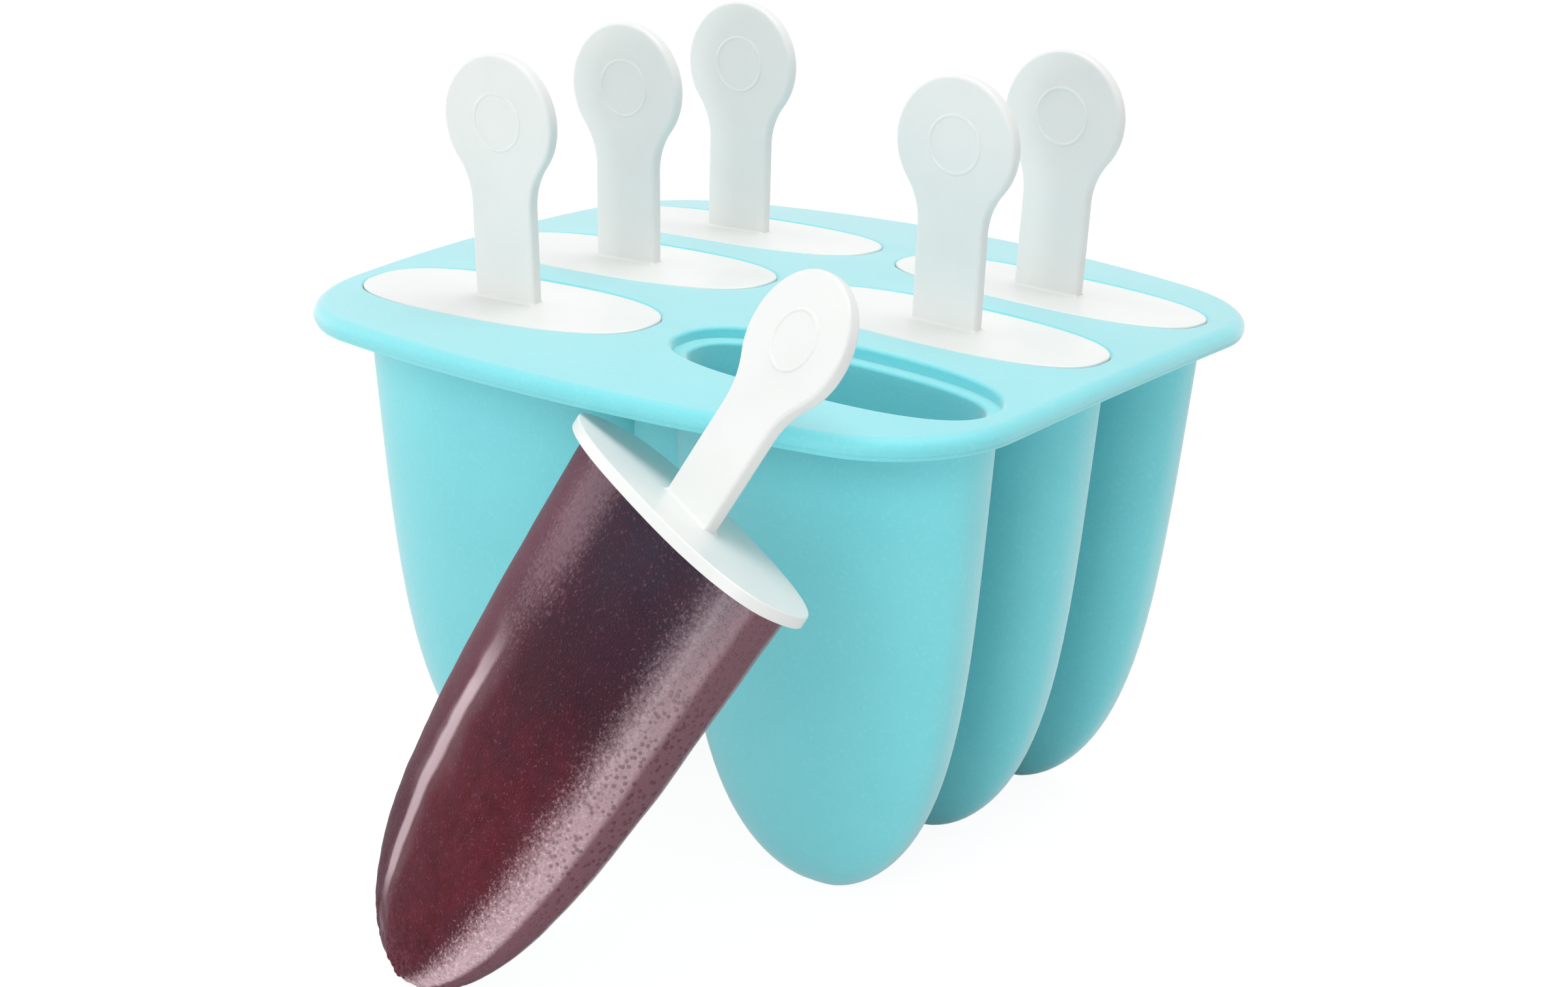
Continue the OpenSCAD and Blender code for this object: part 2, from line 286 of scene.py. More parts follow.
def hollow_solid():
    """Hollow of one cup with its seat, from above the rim down to the tip."""
    depth = CUP_DEPTH - CUP_FLOOR
    seat_len = HOLLOW_HALF_LEN + LEDGE_W + SEAT_GAP
    seat_wid = HOLLOW_HALF_WID + LEDGE_W + SEAT_GAP
    sections = [(HOLLOW_TOP, seat_len + LIP_R, seat_wid + LIP_R)]
    sections += [(LID_SINK - down * LIP_R, seat_len + out * LIP_R, seat_wid + out * LIP_R)
                 for out, down in lip()]
    sections += [(-PLATE_T, seat_len, seat_wid)]
    lower = cup_sections(PLATE_T + LIP_R, HOLLOW_HALF_LEN, HOLLOW_HALF_WID, depth)
    mouth_len, mouth_wid = lower[0][1:]
    sections += [(-PLATE_T - down * LIP_R, mouth_len + out * LIP_R, mouth_wid + out * LIP_R)
                 for out, down in lip()]
    piece = outline_piece("hollow", oval(*sections[0][1:]))
    pull(piece, sections + lower[1:])
    for vertex in piece.data.vertices:
        if vertex.co.z > -PLATE_T / 2:
            vertex.co.z -= TOP_H - crown(vertex.co.x, vertex.co.y)
    return piece


cup, hollow = cup_solid(), hollow_solid()
print("cup faces", len(cup.data.polygons), "hollow faces", len(hollow.data.polygons))

# %% [markdown]
# ## The rim
# The rim is a slab with bowed sides and round corners. Its outline is a circle whose vertices are slid
# along their spokes to the nearest of three arcs, which gives even spacing all round. The slab is pulled
# from the band at the bottom, out over the parting line, round the soft top edge and in over the top in
# rings. Then every vertex is lowered to the crown.

# %% Rim outline
LONG_R, SHORT_R, CORNER_R = 240 * MM, 950 * MM, 28 * MM
RIM_T, EDGE_R = 3.8 * MM, 2.2 * MM
PARTING_DROP, PARTING_STEP, BAND_ROUND = 2.7 * MM, 0.3 * MM, 0.5 * MM
RIM_COUNT, RING_REACH = 256, 0.94

long_centre = Vector((0, RIM_HALF_WID - LONG_R))
short_centre = Vector((RIM_HALF_LEN - SHORT_R, 0))


def corner_centre():
    """Centre of the corner's arc, tangent inside to both side arcs."""
    to_short, to_long = SHORT_R - CORNER_R, LONG_R - CORNER_R
    between = long_centre - short_centre
    gap, way = between.length, between.normalized()
    along = (to_short ** 2 - to_long ** 2 + gap ** 2) / (2 * gap)
    return short_centre + along * way + math.sqrt(to_short ** 2 - along ** 2) * Vector((-way.y, way.x))


corner = corner_centre()
short_end = short_centre + (corner - short_centre).normalized() * SHORT_R
long_end = long_centre + (corner - long_centre).normalized() * LONG_R


def spoke(turn):
    """Where a spoke from the middle meets the outline."""
    way = Vector((abs(math.cos(turn)), abs(math.sin(turn))))
    angle = math.atan2(way.y, way.x)
    if angle < math.atan2(short_end.y, short_end.x):
        centre, radius = short_centre, SHORT_R
    elif angle < math.atan2(long_end.y, long_end.x):
        centre, radius = corner, CORNER_R
    else:
        centre, radius = long_centre, LONG_R
    reach = way.dot(centre) + math.sqrt(way.dot(centre) ** 2 - centre.length_squared + radius ** 2)
    return (math.copysign(way.x * reach, math.cos(turn)), math.copysign(way.y * reach, math.sin(turn)))


# %% Rim slab


def rim_slab(edge_steps=10, rings=18):
    """The slab at the crown's middle height, then lowered to the crown."""
    def at(inset, drop):
        return (-drop, RIM_HALF_LEN - inset, RIM_HALF_WID - inset)

    inner = [at(EDGE_R, 0)[1] * (1 - RING_REACH * i / rings) for i in range(1, rings + 1)]
    inner_sizes = [(half, half * (RIM_HALF_WID - EDGE_R) / (RIM_HALF_LEN - EDGE_R)) for half in inner]
    sections = [(-RIM_T, *size) for size in reversed(inner_sizes)]
    band = PARTING_STEP + BAND_ROUND
    sections += [at(band, RIM_T), at(PARTING_STEP + 0.3 * BAND_ROUND, RIM_T - 0.3 * BAND_ROUND),
                 at(PARTING_STEP, RIM_T - BAND_ROUND), at(PARTING_STEP, PARTING_DROP + 0.1 * MM),
                 at(0.05 * MM, PARTING_DROP), at(0, PARTING_DROP - 0.1 * MM)]
    for i in range(edge_steps + 1):
        turn = math.pi / 2 * i / edge_steps
        sections.append(at(EDGE_R * (1 - math.cos(turn)), EDGE_R * (1 - math.sin(turn))))
    sections += [(0, *size) for size in inner_sizes]
    first = sections[0]
    outline = [(x * first[1] / RIM_HALF_LEN, y * first[2] / RIM_HALF_WID)
               for x, y in (spoke(math.tau * i / RIM_COUNT) for i in range(RIM_COUNT))]
    piece = outline_piece("silicone_mould", outline)
    pull(piece, sections)
    for vertex in piece.data.vertices:
        vertex.co.z += crown(vertex.co.x, vertex.co.y)
        vertex.co.y += MOULD_Y
    return piece


mould = rim_slab()
print("rim faces", len(mould.data.polygons))

# %% [markdown]
# ## One silicone moulding
# In the real mould the rim, the cups and the webs between the cups are one piece. The solids are united,
# the hollows are cut away together, and the tips are trimmed flat where the mould stands. Uniting true
# solids gives clean corners where a cup meets the rim, as the tool that moulded it does.

# %% Webs
WEB_T, WEB_TOP, WEB_DEPTH, WEB_ROUND = 6 * MM, 3 * MM, 28 * MM, 0.8 * MM
FOOT_CUT = 0.01 * MM
web_reach = COL_PITCH / 2 - HOLLOW_HALF_LEN * (1 - LEN_TAPER * WEB_DEPTH / CUP_DEPTH)


def web(row):
    """A thin block between the two cups of a row, with softened long edges."""
    bpy.ops.object.select_all(action="DESELECT")
    height = WEB_DEPTH - WEB_TOP
    bpy.ops.mesh.primitive_cube_add(size=1, location=(0, 0, -WEB_TOP - height / 2))
    piece = bpy.context.object
    piece.scale = (2 * web_reach, WEB_T, height)
    bpy.ops.object.transform_apply(location=True, rotation=True, scale=True)
    bpy.ops.object.mode_set(mode="EDIT")
    bpy.ops.mesh.select_mode(type="EDGE")
    bpy.ops.mesh.select_all(action="DESELECT")
    bpy.ops.object.mode_set(mode="OBJECT")
    for edge in piece.data.edges:
        ends = [piece.data.vertices[i].co for i in edge.vertices]
        edge.select = abs(ends[0].x - ends[1].x) > web_reach and ends[0].z < -WEB_DEPTH + MM
    bpy.ops.object.mode_set(mode="EDIT")
    bpy.ops.mesh.bevel(offset=WEB_ROUND, segments=4)
    bpy.ops.object.mode_set(mode="OBJECT")
    slope = math.atan(2 * CROWN_WID_DROP * row * ROW_PITCH / RIM_HALF_WID ** 2)
    y = row * ROW_PITCH
    return settle(piece, Matrix.Translation((0, MOULD_Y + y, crown(0, y) - LID_SINK))
                  @ Matrix.Rotation(-slope, 4, "X"))


# %% Unite, hollow out and trim
cups = join([copy_to(cup, f"cup_{name}", matrix) for name, matrix in PLACES.items()])
hollows = join([copy_to(hollow, f"hollow_{name}", matrix) for name, matrix in PLACES.items()])
webs = join([web(row) for row in (-1, 0, 1)])
combine(mould, cups, "UNION")
combine(mould, webs, "UNION")
combine(mould, hollows, "DIFFERENCE")
bpy.data.objects.remove(cup)
bpy.data.objects.remove(hollow)

pick(mould)
bpy.ops.object.mode_set(mode="EDIT")
bpy.ops.mesh.select_all(action="SELECT")
bpy.ops.mesh.bisect(plane_co=(0, 0, FOOT_CUT), plane_no=(0, 0, 1), clear_inner=True, use_fill=True)
bpy.ops.object.mode_set(mode="OBJECT")
smooth(mould, 32)
apply_modifier(mould, "WEIGHTED_NORMAL", weight=80, keep_sharp=True)
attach(mould, "root")
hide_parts("silicone_body")
print("mould faces", len(mould.data.polygons), "size in mm", [round(v / MM, 1) for v in mould.dimensions])

# %% [markdown]
# ## The stick lids
# Each lid is moulded in one piece: an oval plate that closes the cup, a flat stem with a round head above
# it, and a blade with holes below it that the pop freezes onto. The flat parts are outlines pulled to
# their thickness, with every edge rounded by a bevel, because soft edges are what makes moulded plastic
# catch the light.

# %% Handle outline
STEM_W, STEM_T, HEAD_R, HEAD_RISE, SHOULDER_R = 14.2 * MM, 2.8 * MM, 12.7 * MM, 34.3 * MM, 13 * MM
TANG_W, TANG_T, TANG_LEN, HOLE_R, HOLE_PITCH = 11 * MM, 2.4 * MM, 50 * MM, 2.6 * MM, 13 * MM
HANDLE_ROUND, TANG_ROUND, COLLAR_CORNER_R = 0.7 * MM, 0.4 * MM, 0.5 * MM


def arc(centre, radius, start, end, steps):
    """Points on an arc, angles in radians, without its end point."""
    return [(centre[0] + radius * math.cos(start + (end - start) * i / steps),
             centre[1] + radius * math.sin(start + (end - start) * i / steps)) for i in range(steps)]


def handle_outline():
    """Right side from the plate up over the hollow shoulder and the head, then its mirror."""
    side_x = STEM_W / 2 + SHOULDER_R
    shoulder_y = HEAD_RISE - math.sqrt((HEAD_R + SHOULDER_R) ** 2 - side_x ** 2)
    meet = math.atan2(HEAD_RISE - shoulder_y, side_x)
    right = [(STEM_W / 2, -PLATE_T / 2), (STEM_W / 2, shoulder_y / 2)]
    right += arc((side_x, shoulder_y), SHOULDER_R, math.pi, math.pi - meet, 12)
    right += arc((0, HEAD_RISE), HEAD_R, -meet, math.pi / 2, 40)
    return right + [(0, HEAD_RISE + HEAD_R)] + [(-x, y) for x, y in reversed(right)]


def tang_outline():
    """The blade below the plate, with a round end."""
    end_y = -PLATE_T - TANG_LEN + TANG_W / 2
    right = arc((0, end_y), TANG_W / 2, -math.pi / 2, 0, 12)
    right += [(TANG_W / 2, end_y), (TANG_W / 2, -PLATE_T / 2)]
    return right + [(-x, y) for x, y in reversed(right[1:])]


# %% Flat parts with rounded edges


def flat_part(name, outline, thickness, edge):
    """Pulls an outline to a thickness, rounds the edges of both faces and stands it upright."""
    piece = outline_piece(name, outline)
    pick(piece)
    bpy.ops.object.mode_set(mode="EDIT")
    bpy.ops.mesh.select_mode(type="FACE")
    bpy.ops.mesh.select_all(action="SELECT")
    bpy.ops.transform.translate(value=(0, 0, -thickness / 2))
    bpy.ops.mesh.extrude_region_move(TRANSFORM_OT_translate={"value": (0, 0, thickness)})
    bpy.ops.mesh.select_all(action="SELECT")
    bpy.ops.mesh.normals_make_consistent(inside=False)
    bpy.ops.mesh.select_mode(type="EDGE")
    bpy.ops.mesh.select_all(action="DESELECT")
    bpy.ops.object.mode_set(mode="OBJECT")
    for side in piece.data.edges:
        heights = [piece.data.vertices[i].co.z for i in side.vertices]
        side.select = abs(heights[0] - heights[1]) < thickness / 2
    bpy.ops.object.mode_set(mode="EDIT")
    bpy.ops.mesh.bevel(offset=edge, segments=5, profile=0.5)
    bpy.ops.object.mode_set(mode="OBJECT")
    return settle(piece, Matrix.Rotation(math.pi / 2, 4, "X"))


# %% Plate with its collar


def lid_plate(edge=0.35 * MM, steps=4):
    """The oval plate with soft edges."""
    half_len, half_wid = HOLLOW_HALF_LEN + LEDGE_W, HOLLOW_HALF_WID + LEDGE_W
    under = edge / 2
    sections = []
    for i in range(steps + 1):
        turn = math.pi / 2 * i / steps
        inset = under * (1 - math.sin(turn))
        sections.append((-PLATE_T + under * (1 - math.cos(turn)), half_len - inset, half_wid - inset))
    for i in range(steps + 1):
        turn = math.pi / 2 * i / steps
        inset = edge * (1 - math.cos(turn))
        sections.append((-edge * (1 - math.sin(turn)), half_len - inset, half_wid - inset))
    piece = outline_piece("plate", oval(*sections[0][1:], count=160))
    pull(piece, sections)
    return piece


def stem_collar(flare=0.9 * MM, steps=6):
    """The small fillet that carries the stem's faces into the plate."""
    half_w, half_t = STEM_W / 2 - 0.3 * MM, STEM_T / 2 - 0.05 * MM
    outline = []
    for side_x, side_y, start in ((1, 1, 0), (-1, 1, 90), (-1, -1, 180), (1, -1, 270)):
        inner = (Vector((side_x * half_w, side_y * half_t))
                 - Vector((side_x * COLLAR_CORNER_R, side_y * COLLAR_CORNER_R)))
        outline += arc(inner, COLLAR_CORNER_R, math.radians(start), math.radians(start + 90), 6)
    wide = [(x + math.copysign(flare, x), y + math.copysign(flare, y)) for x, y in outline]
    sections = [(-0.5 * MM, half_w + flare, half_t + flare), (-0.02 * MM, half_w + flare, half_t + flare)]
    for i in range(1, steps + 1):
        turn = math.pi / 2 * i / steps
        grow = flare * (1 - math.sin(turn))
        sections.append((flare * (1 - math.cos(turn)), half_w + grow, half_t + grow))
    sections.append((flare + 0.2 * MM, half_w - 0.1 * MM, half_t - 0.1 * MM))
    piece = outline_piece("collar", wide)
    pull(piece, sections)
    return piece


# %% Whole stick lid
RING_R, RING_BAR_R, RING_SINK = 5.4 * MM, 0.5 * MM, 0.3 * MM


def round_tool(radius, depth, x, z):
    """A short round bar across the blade or the head."""
    bpy.ops.object.select_all(action="DESELECT")
    bpy.ops.mesh.primitive_cylinder_add(vertices=48, radius=radius, depth=depth, location=(x, 0, z),
                                        rotation=(math.pi / 2, 0, 0))
    piece = bpy.context.object
    bpy.ops.object.transform_apply(location=True, rotation=True, scale=True)
    return piece


def grip_ring(side):
    """A plain low ring on one face of the head."""
    bpy.ops.object.select_all(action="DESELECT")
    bpy.ops.mesh.primitive_torus_add(major_radius=RING_R, minor_radius=RING_BAR_R, major_segments=72,
                                     minor_segments=16, rotation=(math.pi / 2, 0, 0),
                                     location=(0, side * (STEM_T / 2 - RING_SINK), HEAD_RISE))
    piece = bpy.context.object
    bpy.ops.object.transform_apply(location=True, rotation=True, scale=True)
    return piece


def stick_lid():
    """Plate, collar, handle and blade as one closed piece."""
    piece = lid_plate()
    combine(piece, flat_part("handle", handle_outline(), STEM_T, HANDLE_ROUND), "UNION")
    combine(piece, stem_collar(), "UNION")
    combine(piece, flat_part("tang", tang_outline(), TANG_T, TANG_ROUND), "UNION")
    for i in range(3):
        hole_z = -PLATE_T - TANG_LEN + TANG_W / 2 + i * HOLE_PITCH
        combine(piece, round_tool(HOLE_R, 3 * TANG_T, 0, hole_z), "DIFFERENCE")
    for side in (-1, 1):
        combine(piece, grip_ring(side), "UNION")
    return piece


stick = stick_lid()
print("stick faces", len(stick.data.polygons))

# %% [markdown]
# ## Setting the lids down
# Five lids sit in their cups. The sixth is lifted out with its pop and leans on the rim. It is the same
# moulding, so the CAD mesh of a seated lid, taken back to the origin and turned, has the same box as the
# lifted one: the shift between the two boxes is the place.

# %% The lifted place
POP_HEADING, POP_LEAN, POP_SPIN = -47, 31, 26
lifted_turn = (Matrix.Rotation(math.radians(POP_HEADING), 4, "Z")
               @ Matrix.Rotation(math.radians(-POP_LEAN), 4, "X")
               @ Matrix.Rotation(math.radians(POP_SPIN), 4, "Z"))


def lifted_place():
    """Matrix of the lifted lid."""
    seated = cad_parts["stick_middle_left"].data.vertices
    to_origin = PLACES["middle_left"].inverted()
    turned = [lifted_turn @ to_origin @ vertex.co for vertex in seated]
    low = Vector(min(p[i] for p in turned) for i in range(3))
    return Matrix.Translation(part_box("stick_front_right")[0] - low) @ lifted_turn


LIFTED = lifted_place()
print("lifted lid at", [round(v / MM, 2) for v in LIFTED.translation], "mm")

# %% Six lids
sticks = {}
for name, matrix in PLACES.items():
    at = LIFTED if name == "front_right" else matrix
    sticks[name] = copy_to(stick, f"lid_{name}", at)
    smooth(sticks[name], 40)
    apply_modifier(sticks[name], "WEIGHTED_NORMAL", weight=60, keep_sharp=True)
    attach(sticks[name], "root")
    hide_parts(f"stick_{name}")
bpy.data.objects.remove(stick)
print("lids", sorted(sticks))

# %% [markdown]
# ## The frozen pop
# The pop is what the cup's hollow moulds: the same oval sections, with the water line softened under the
# plate. Real ice isn't a clean casting. It swells and shrinks by fractions of a millimetre, and it breaks
# into small crystals where it is pulled off the cup's tip. Two applied displacements with cloud textures
# give that unevenness, and a vertex group keeps the coarse one to the tip and the trailing edge.

# %% Pop loft
POP_DEPTH = CUP_DEPTH - CUP_FLOOR


def ice_loft(edge=0.7 * MM, steps=4):
    """The pop upright, with its top under the plate of a lid at height 0."""
    body = cup_sections(PLATE_T + edge, HOLLOW_HALF_LEN, HOLLOW_HALF_WID, POP_DEPTH, upper=64, lower=64)
    first_len, first_wid = body[0][1:]
    sections = []
    for i in range(steps + 1):
        turn = math.pi / 2 * i / steps
        inset = edge * (1 - math.sin(turn))
        sections.append((-PLATE_T - edge * (1 - math.cos(turn)), first_len - inset, first_wid - inset))
    piece = outline_piece("frozen_berry_pop", oval(*sections[0][1:], count=176))
    pull(piece, sections + body[1:])
    return piece


ice_pop = ice_loft()
print("pop faces", len(ice_pop.data.polygons))

# %% Uneven ice
CRYSTAL_START, TRAIL_START, TRAIL_EDGE, TRAIL_GAIN = 0.8, 0.45, 0.55, 5
TABLE_CLEAR = 0.05 * MM


def crystal_weight(point):
    """How coarse the ice is at a point of the upright pop: 0 is cast smooth, 1 is broken crystals."""
    share = -point.z / POP_DEPTH
    tip = max(0.0, (share - CRYSTAL_START) / (1 - CRYSTAL_START))
    trailing = max(0.0, share - TRAIL_START) * max(0.0, -point.x / HOLLOW_HALF_LEN - TRAIL_EDGE) * TRAIL_GAIN
    return min(1.0, tip ** 1.5 + trailing)


crystals = ice_pop.vertex_groups.new(name="crystals")
for vertex in ice_pop.data.vertices:
    crystals.add([vertex.index], crystal_weight(vertex.co), "REPLACE")

swell = bpy.data.textures.new("ice_swell", "CLOUDS")
swell.noise_scale = 16 * MM
grit = bpy.data.textures.new("ice_grit", "CLOUDS")
grit.noise_scale, grit.noise_depth, grit.noise_type = 2.2 * MM, 3, "HARD_NOISE"
apply_modifier(ice_pop, "DISPLACE", texture=swell, strength=0.5 * MM, mid_level=0.5)
apply_modifier(ice_pop, "DISPLACE", texture=grit, strength=0.9 * MM, mid_level=0.55, vertex_group="crystals")
settle(ice_pop, LIFTED)
for vertex in ice_pop.data.vertices:
    vertex.co.z = max(vertex.co.z, TABLE_CLEAR)
smooth(ice_pop, 60)
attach(ice_pop, "root")
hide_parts("frozen_pop")
print("pop lowest point in mm", round(min(v.co.z for v in ice_pop.data.vertices) / MM, 2))

# %% [markdown]
# ## Shared surface effects
# Silicone, plastic and ice all have a fine grain and a slow drift of tone. Each effect is a small node
# group, so that one change reaches every finish. A group only puts out a mask or a height. The shader
# itself, and the numbers that hold all over a surface, stay in each material.

# %% Node helpers


def rgb(red, green, blue):
    """A colour given in 0 to 255 steps, as the linear values that Blender works in."""
    shares = (red / 255, green / 255, blue / 255)
    return (*[v / 12.92 if v <= 0.04045 else ((v + 0.055) / 1.055) ** 2.4 for v in shares], 1.0)


def add_node(tree, kind, inputs=None, **settings):
    """A node with settings, and inputs that are values or other nodes' sockets."""
    node = tree.nodes.new(kind)
    for key, value in settings.items():
        setattr(node, key, value)
    for key, value in (inputs or {}).items():
        if isinstance(value, bpy.types.NodeSocket):
            tree.links.new(value, node.inputs[key])
        else:
            node.inputs[key].default_value = value
    return node


def math_node(tree, operation, first, second=0.0, third=0.0, clamp=False):
    """The result of one sum on sockets or numbers."""
    node = add_node(tree, "ShaderNodeMath", {0: first, 1: second, 2: third},
                    operation=operation, use_clamp=clamp)
    return node.outputs[0]


def product(tree, first, *others):
    """All the factors multiplied together."""
    for other in others:
        first = math_node(tree, "MULTIPLY", first, other)
    return first


def mask_between(tree, value, start, end):
    """0 at start, 1 at end and smooth between. It falls as the value grows where end is the smaller one."""
    node = add_node(tree, "ShaderNodeMapRange", {"Value": value, "From Min": start, "From Max": end},
                    interpolation_type="SMOOTHSTEP")
    return node.outputs["Result"]


def peak_between(tree, value, rise, fall):
    """A mask that goes up over the rise and down again over the fall."""
    return product(tree, mask_between(tree, value, *rise), mask_between(tree, value, *fall))


def tint(tree, under, colour, *masks):
    """A colour laid over another by the masks and amounts multiplied together."""
    node = add_node(tree, "ShaderNodeMix", {0: product(tree, *masks), 6: under, 7: colour}, data_type="RGBA")
    return node.outputs[2]


def ramp(tree, value, stops):
    """Colour along a value, by (position, colour) stops."""
    node = add_node(tree, "ShaderNodeValToRGB", {0: value})
    elements = node.color_ramp.elements
    while len(elements) < len(stops):
        elements.new(0.5)
    for element, (position, colour) in zip(elements, stops):
        element.position, element.color = position, colour
    return node.outputs[0]


# %% Groups


def new_group(name, inputs, output):
    """An empty group with a Vector, named numbers and one output."""
    tree = bpy.data.node_groups.new(name, "ShaderNodeTree")
    tree.interface.new_socket(name="Vector", in_out="INPUT", socket_type="NodeSocketVector")
    for key, value in inputs.items():
        socket = tree.interface.new_socket(name=key, in_out="INPUT", socket_type="NodeSocketFloat")
        socket.default_value = value
    tree.interface.new_socket(name=output, in_out="OUTPUT", socket_type="NodeSocketFloat")
    return tree, tree.nodes.new("NodeGroupInput"), tree.nodes.new("NodeGroupOutput")


def make_grain():
    """Fine even grain, as a height from 0 to 1, at a number of grains per metre."""
    tree, given, result = new_group("fine_grain", {"Density": 1500.0, "Detail": 3.0}, "Height")
    noise = add_node(tree, "ShaderNodeTexNoise", {"Vector": given.outputs["Vector"],
                                                  "Scale": given.outputs["Density"],
                                                  "Detail": given.outputs["Detail"], "Roughness": 0.6})
    tree.links.new(noise.outputs[0], result.inputs["Height"])
    return tree


def make_drift():
    """Slow drift of tone, as a mask from 0 to 1, with its contrast."""
    tree, given, result = new_group("slow_drift", {"Density": 30.0, "Contrast": 1.0}, "Mask")
    noise = add_node(tree, "ShaderNodeTexNoise", {"Vector": given.outputs["Vector"],
                                                  "Scale": given.outputs["Density"],
                                                  "Detail": 4.0, "Roughness": 0.55})
    centred = math_node(tree, "SUBTRACT", noise.outputs[0], 0.5)
    spread = math_node(tree, "MULTIPLY", centred, given.outputs["Contrast"])
    tree.links.new(math_node(tree, "ADD", spread, 0.5, clamp=True), result.inputs["Mask"])
    return tree


GRAIN, DRIFT = make_grain(), make_drift()


def use_group(tree, group, vector, **inputs):
    """The output of one of the shared groups on a vector."""
    node = add_node(tree, "ShaderNodeGroup", node_tree=group)
    tree.links.new(vector, node.inputs["Vector"])
    for key, value in inputs.items():
        node.inputs[key].default_value = value
    return node.outputs[0]


def new_finish(name, **constants):
    """A material with its shader, and its object coordinates."""
    finish = bpy.data.materials.new(name)
    finish.use_nodes = True
    tree = finish.node_tree
    shader = tree.nodes["Principled BSDF"]
    for key, value in constants.items():
        shader.inputs[key.replace("_", " ")].default_value = value
    return finish, tree, shader, add_node(tree, "ShaderNodeTexCoord").outputs["Object"]


def put_bump(tree, shader, heights, strength, depth):
    """The heights stand out of the surface by a depth."""
    bump = add_node(tree, "ShaderNodeBump", {"Strength": strength, "Distance": depth, "Height": heights})
    tree.links.new(bump.outputs[0], shader.inputs["Normal"])


def wear(piece, finish):
    """The piece gets this finish all over."""
    piece.data.materials.clear()
    piece.data.materials.append(finish)


# %% [markdown]
# ## Silicone
# Moulded silicone is matte with a soft, wide highlight, and looks a little velvety where it turns away. Its
# colour drifts from place to place, and dust clings to it. So the tone moves between two close aquas with
# fine paler specks, the roughness follows the same drift, a sheen lifts the turned sides, and a bump of
# grain under a millimetre across breaks up the highlight without showing as a pattern.

# %% Silicone finish
AQUA, PALE_AQUA, SPECK_AQUA = rgb(118, 214, 222), rgb(128, 222, 229), rgb(156, 236, 240)


def silicone_finish():
    """Matte aqua with a slow drift and fine paler specks."""
    finish, tree, shader, place_vector = new_finish(
        "aqua_silicone", IOR=1.41, Subsurface_Weight=0.08, Subsurface_Scale=3 * MM,
        Subsurface_Radius=(0.5, 1.0, 1.0), Sheen_Weight=1.0, Sheen_Roughness=0.45)
    drift = use_group(tree, DRIFT, place_vector, Density=28.0, Contrast=1.6)
    grain = use_group(tree, GRAIN, place_vector, Density=1200.0, Detail=3.0)
    tone = tint(tree, AQUA, PALE_AQUA, drift)
    speckled = tint(tree, tone, SPECK_AQUA, mask_between(tree, grain, 0.5, 0.75), 0.2)
    tree.links.new(speckled, shader.inputs["Base Color"])
    tree.links.new(math_node(tree, "MULTIPLY_ADD", drift, 0.10, 0.44), shader.inputs["Roughness"])
    put_bump(tree, shader, grain, 0.25, 0.2 * MM)
    return finish


wear(mould, silicone_finish())
print("finish", mould.data.materials[0].name)

# %% [markdown]
# ## White plastic
# The lids are plain white polypropylene. It is a little warmer and shinier than the silicone, with faint
# flow marks from the tool. The tone hardly moves, so most of the character sits in the roughness and in
# a very shallow wavy bump.

# %% Plastic finish
COOL_WHITE, WARM_WHITE = rgb(227, 230, 228), rgb(233, 235, 233)


def plastic_finish():
    """Smooth white with faint flow marks."""
    finish, tree, shader, place_vector = new_finish(
        "white_plastic", IOR=1.49, Subsurface_Weight=0.1, Subsurface_Scale=2 * MM,
        Subsurface_Radius=(1.0, 1.0, 0.95))
    drift = use_group(tree, DRIFT, place_vector, Density=60.0, Contrast=1.8)
    grain = use_group(tree, GRAIN, place_vector, Density=900.0, Detail=2.0)
    tree.links.new(tint(tree, COOL_WHITE, WARM_WHITE, drift), shader.inputs["Base Color"])
    tree.links.new(math_node(tree, "MULTIPLY_ADD", drift, 0.12, 0.30), shader.inputs["Roughness"])
    flow = math_node(tree, "MULTIPLY_ADD", drift, 0.6, product(tree, grain, 0.4))
    put_bump(tree, shader, flow, 0.15, 0.3 * MM)
    return finish


plastic = plastic_finish()
for lid in sticks.values():
    wear(lid, plastic)
print("finish", plastic.name)

# %% [markdown]
# ## Frozen juice
# The pop has three layers for the eye: dark juice in the core, pale frost near the skin, and a wet film
# where it has begun to melt. Over the frost and the edges lie painted highlights and painted reflections.
# An image could be painted for it, but a pattern that is laid out along the pop itself stays sharp at any
# size. A Mapping node turns the object coordinates back to the upright pop.
# Two plain measures then give every mask its place: the share of the length, which is 0 at the plate and 1
# at the tip, and the degrees round the oval, which are 0 at the pop's right edge in the picture, 90 in
# the middle and 180 at its left edge.

# %% Layout on the pop
BUBBLE_DENSITY = 900.0


